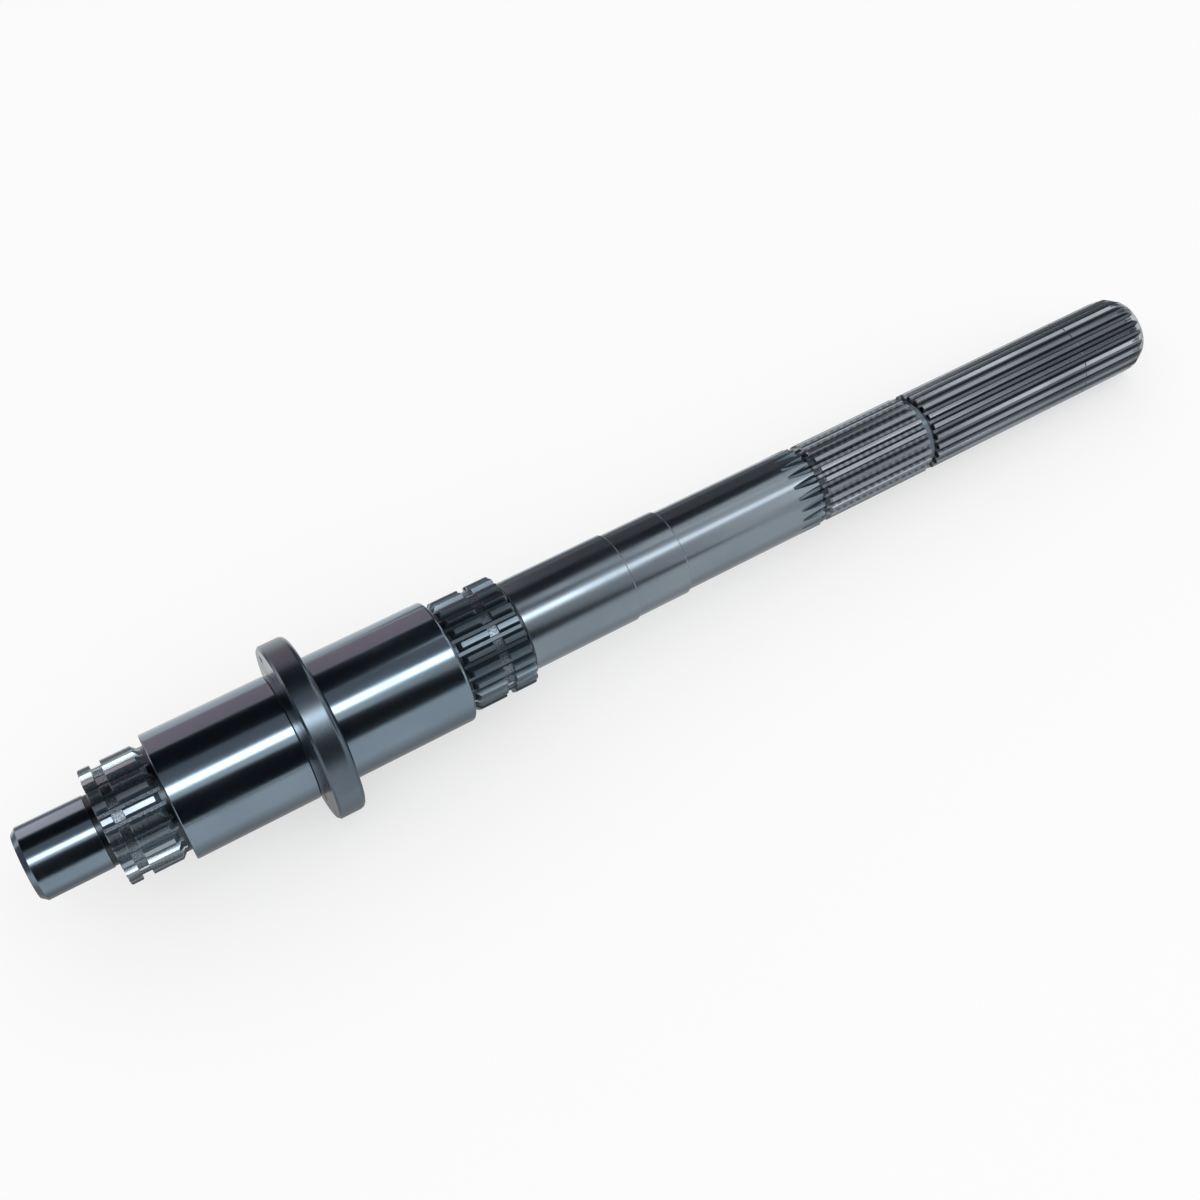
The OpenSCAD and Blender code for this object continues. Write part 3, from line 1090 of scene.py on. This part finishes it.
@dataclass(frozen=True)
class Card:
    """A long card beside the shaft that only its polished faces show. Lengths are in metres.

    Attributes:
        name: The card's name.
        ends: Where it starts and ends along the shaft.
        first: Where its lower and its upper edge are seen from the axis at its start, in degrees.
        last: Where they are seen at its end, in degrees.
        colour: Its colour, or that of its light.
        glow: How bright a lit card is, where 1 is white, or 0 for a painted one.
        reach: Its distance from the axis.
    """

    name: str
    ends: tuple[float, float]
    first: tuple[float, float]
    last: tuple[float, float]
    colour: Colour
    glow: float = 0.0
    reach: float = 0.9

    def build(self) -> bpy.types.Object:
        """Cuts the card and hangs it in its place.

        Returns:
            The card.
        """
        middle = sum(self.first + self.last) / 4
        near = [self.reach * math.tan(math.radians(h - middle)) for h in self.first]
        far = [self.reach * math.tan(math.radians(h - middle)) for h in self.last]
        length, wide = self.ends[1] - self.ends[0], near[1] - near[0]
        card = new_plane(self.name)
        edit_all()
        bpy.ops.transform.resize(value=(length, wide, 1), center_override=(0, 0, 0))
        bpy.ops.transform.translate(value=(0, sum(near) / 2, 0))
        select_parts(card, "VERT", lambda point: point.co.x > 0)
        bpy.ops.transform.resize(value=(1, (far[1] - far[0]) / wide, 1), center_override=(0, sum(near) / 2, 0))
        bpy.ops.transform.translate(value=(0, (sum(far) - sum(near)) / 2, 0))
        bpy.ops.object.mode_set(mode="OBJECT")
        out, side = direction(middle), Vector((1, 0, 0))
        turn = Matrix((side, direction(middle + 90), out)).transposed().to_4x4()
        card.data.transform(Matrix.Translation(side * sum(self.ends) / 2 + out * self.reach) @ turn)
        card.data.materials.append(card_look(self.name, self.colour, self.glow))
        return card


@dataclass(frozen=True)
class FlatCard:
    """A card just over the floor or an upright board, which only polished faces show. Lengths are in metres.

    Attributes:
        name: The card's name.
        first: Its first corner on that plane.
        last: The opposite corner.
        colour: Its colour, or that of its light.
        glow: How bright a lit card is, where 1 is white, or 0 for a painted one.
        fade: How far from under the shaft its painted shadow has faded away, or 0 where it never does.
        station: Where an upright one stands along the shaft, or None for one on the floor.
        lift: How far it lies over that plane.
    """

    name: str
    first: tuple[float, float]
    last: tuple[float, float]
    colour: Colour
    glow: float = 0.0
    fade: float = 0.0
    station: float | None = None
    lift: float = 0.0005

    def build(self, floor: Matrix) -> bpy.types.Object:
        """Lays the card in its place.

        Args:
            floor: Where the floor lies.

        Returns:
            The card.
        """
        card = new_plane(self.name)
        plane = floor
        if self.station is not None:
            plane = Matrix.Translation((self.station, 0, 0)) @ Matrix.Rotation(math.pi / 2, 4, "Y")
        (x0, y0), (x1, y1) = self.first, self.last
        centre = Matrix.Translation(((x0 + x1) / 2, (y0 + y1) / 2, self.lift))
        card.data.transform(plane @ centre @ Matrix.Diagonal((x1 - x0, y1 - y0, 1, 1)))
        card.data.materials.append(card_look(self.name, self.colour, self.glow, self.fade))
        return card


WHITE = (1, 1, 1)
BLACK = (0.012, 0.014, 0.018)
BOARD = (0.2, 0.21, 0.23)

CARDS = (
    Card("front_card", (-0.3, 0.17), (-2, 51), (3, 43), BLACK),
    Card("front_card_end", (0.17, 0.54), (3, 43), (14, 15), BLACK),
    Card("low_card", (0.2, 0.5), (41.2, 55.5), (23.5, 58), WHITE, 0.57),
    Card("tail_low_card", (0.64, 0.8), (2, 28), (2, 28), WHITE, 0.35),
    Card("tail_mid_card", (0.6, 0.8), (34, 54), (34, 54), WHITE, 1.5),
    Card("key_card", (-0.6, 0.37), (55, 68), (58, 70), WHITE, 6.0),
    Card("key_card_end", (0.37, 0.8), (60, 71), (63, 73.5), WHITE, 3.0),
    Card("top_card", (-1.4, 0.3), (71, 93), (71, 96), (0.3, 0.31, 0.34)),
    Card("top_card_end", (0.3, 0.47), (73, 90), (80, 86), (0.35, 0.36, 0.39)),
    Card("line_card", (0.3, 0.75), (91, 94), (91, 94), WHITE, 1.4),
    Card("back_card", (-1.4, 0.17), (93, 138), (96, 138), BLACK),
    Card("back_card_end", (0.17, 0.75), (96, 138), (121, 138), (0.035, 0.04, 0.045)),
    Card("far_card", (0.29, 0.8), (138, 179), (138, 179), (0.165, 0.155, 0.165)),
    Card("warm_card", (-0.08, 0.28), (139, 177), (139, 177), (1, 0.72, 0.76), 0.62),
    Card("pilot_card", (-1.4, -0.09), (142, 177), (142, 177), (1, 0.8, 0.79), 1.5),
    Card("end_front_card", (0.8, 1.5), (-1, 25), (-1, 25), WHITE, 1.75),
    Card("end_top_card", (0.8, 1.5), (58, 90), (58, 90), WHITE, 0.4),
    Card("end_back_card", (0.8, 1.5), (128, 151), (128, 151), WHITE, 1.8),
    Card("end_far_card", (0.8, 1.5), (151, 179), (151, 179), WHITE, 0.1),
)

FLAT_CARDS = (
    FlatCard("floor_card", (0.1, 0.095), (1.9, 1.05), (0.24, 0.245, 0.27)),
    FlatCard("pilot_floor_card", (-1.0, 0.1), (-0.065, 1.05), (0.33, 0.33, 0.36)),
    FlatCard("near_card", (-0.35, -0.9), (0.06, -0.55), BLACK),
    # Painted shadow: dim glowing strips under the shaft stand in for the floor's contact shadow in the steel's
    # reflections
    FlatCard("painted_shadow_card", (-0.3, -0.065), (0.075, 0.04), WHITE, 0.38, 0.044),
    FlatCard("painted_shadow_card_end", (0.075, -0.05), (0.5, 0.03), WHITE, 0.58, 0.03),
    FlatCard("front_board", (-1.0, -1.0), (1.0, 1.0), BOARD, station=-1.45),
    FlatCard("rear_board_near", (-1.6, -1.6), (1.6, -0.35), BOARD, station=1.6),
    FlatCard("rear_board_far", (-1.6, 0.35), (1.6, 1.6), BOARD, station=1.6),
)


@dataclass(frozen=True)
class Studio:
    """The pale floor, the lamp and the cards round the shaft. Lengths are in metres.

    Attributes:
        shaft: The shaft that lies on the floor.
        floor_side: The floor's side.
        lamp_size: The lamp's length and width.
        lamp_place: Its station and its distance from the axis.
        lamp_height: Where it is seen from the shaft, in degrees above the camera's side.
        lamp_power: Its power in watts.
    """

    shaft: MainShaft
    floor_side: float = 5.0
    lamp_size: tuple[float, float] = (1.6, 1.2)
    lamp_place: tuple[float, float] = (0.13, 1.8)
    lamp_height: float = 62
    lamp_power: float = 6.0

    def build(self) -> None:
        """Sets up the floor, the cards, the lamp and the world."""
        floor = self.floor()
        for flat_card in FLAT_CARDS:
            self.only_reflect(flat_card.build(floor))
        for card in CARDS:
            self.only_reflect(card.build())
        self.lamp()
        self.world()

    def only_reflect(self, card: bpy.types.Object) -> None:
        """Args:
            card: The card.
        """
        card.visible_camera = False
        card.visible_diffuse = False
        card.visible_shadow = False

    def floor(self) -> Matrix:
        """Lays the floor against the rim of the flange and the end of the tail.

        Returns:
            Where the floor lies.
        """
        shaft, at = self.shaft, self.shaft.at
        tail_r = shaft.splines()[2].tip_r
        middle = (at.flange_front + at.flange_rear) / 2
        run = at.tail_end - shaft.tail_lead_len - shaft.tail_taper_len - middle
        slope = math.asin((shaft.flange_r - tail_r) / run)
        touch = Vector((middle + shaft.flange_r * math.sin(slope), 0, -shaft.flange_r * math.cos(slope)))
        place = Matrix.Translation(touch * MM) @ Matrix.Rotation(-slope, 4, "Y")
        floor = new_plane("floor", self.floor_side)
        floor.data.transform(place)
        floor.data.materials.append(self.floor_paint())
        return place

    def floor_paint(self) -> bpy.types.Material:
        """Makes the floor's white, which keeps a soft shadow.

        Returns:
            The material.
        """
        made = bpy.data.materials.new("floor_paint")
        graph = Graph(made)
        values = {"Base Color": (0.95, 0.95, 0.95, 1), "Roughness": 0.9, "Specular IOR Level": 0.0}
        matt = graph.add("ShaderNodeBsdfPrincipled", None, values)
        white = graph.add("ShaderNodeEmission", None, {"Color": (1, 1, 1, 1), "Strength": 1.0})
        graph.end(graph.add("ShaderNodeMixShader", None, {0: graph.shown() * FLOOR_GLOW, 1: matt, 2: white}))
        return made

    def lamp(self) -> None:
        """Hangs a long soft lamp beside the shaft, which lights the floor and leaves the steel to the cards."""
        data = bpy.data.lights.new("key_lamp", "AREA")
        data.shape = "RECTANGLE"
        data.size, data.size_y = self.lamp_size
        data.energy = self.lamp_power
        lamp = bpy.data.objects.new("key_lamp", data)
        bpy.context.collection.objects.link(lamp)
        station, reach = self.lamp_place
        out, side = direction(self.lamp_height), Vector((1, 0, 0))
        turn = Matrix((side, out.cross(side), out)).transposed().to_4x4()
        lamp.matrix_world = Matrix.Translation(side * station + out * reach) @ turn
        lamp.visible_camera = False
        lamp.visible_glossy = False

    def world(self) -> None:
        """Makes the room white to the eye and to polished steel, and a little dimmer as light."""
        world = bpy.data.worlds.new("room")
        bpy.context.scene.world = world
        graph = Graph(world)
        values = {"Color": (1, 1, 1, 1), "Strength": graph.shown() * (1 - ROOM_LIGHT) + ROOM_LIGHT}
        graph.end(graph.add("ShaderNodeBackground", None, values), "ShaderNodeOutputWorld")


def main() -> None:
    """Builds the shaft and its studio in order."""
    logging.basicConfig(level=logging.INFO, format="%(name)s: %(message)s")
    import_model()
    shaft = MainShaft()
    piece = shaft.build()
    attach(piece, BODY)
    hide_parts(NODE)
    Studio(shaft).build()
    Camera().build()
    bpy.context.scene.view_settings.view_transform = "Standard"


if __name__ == "__main__":
    main()
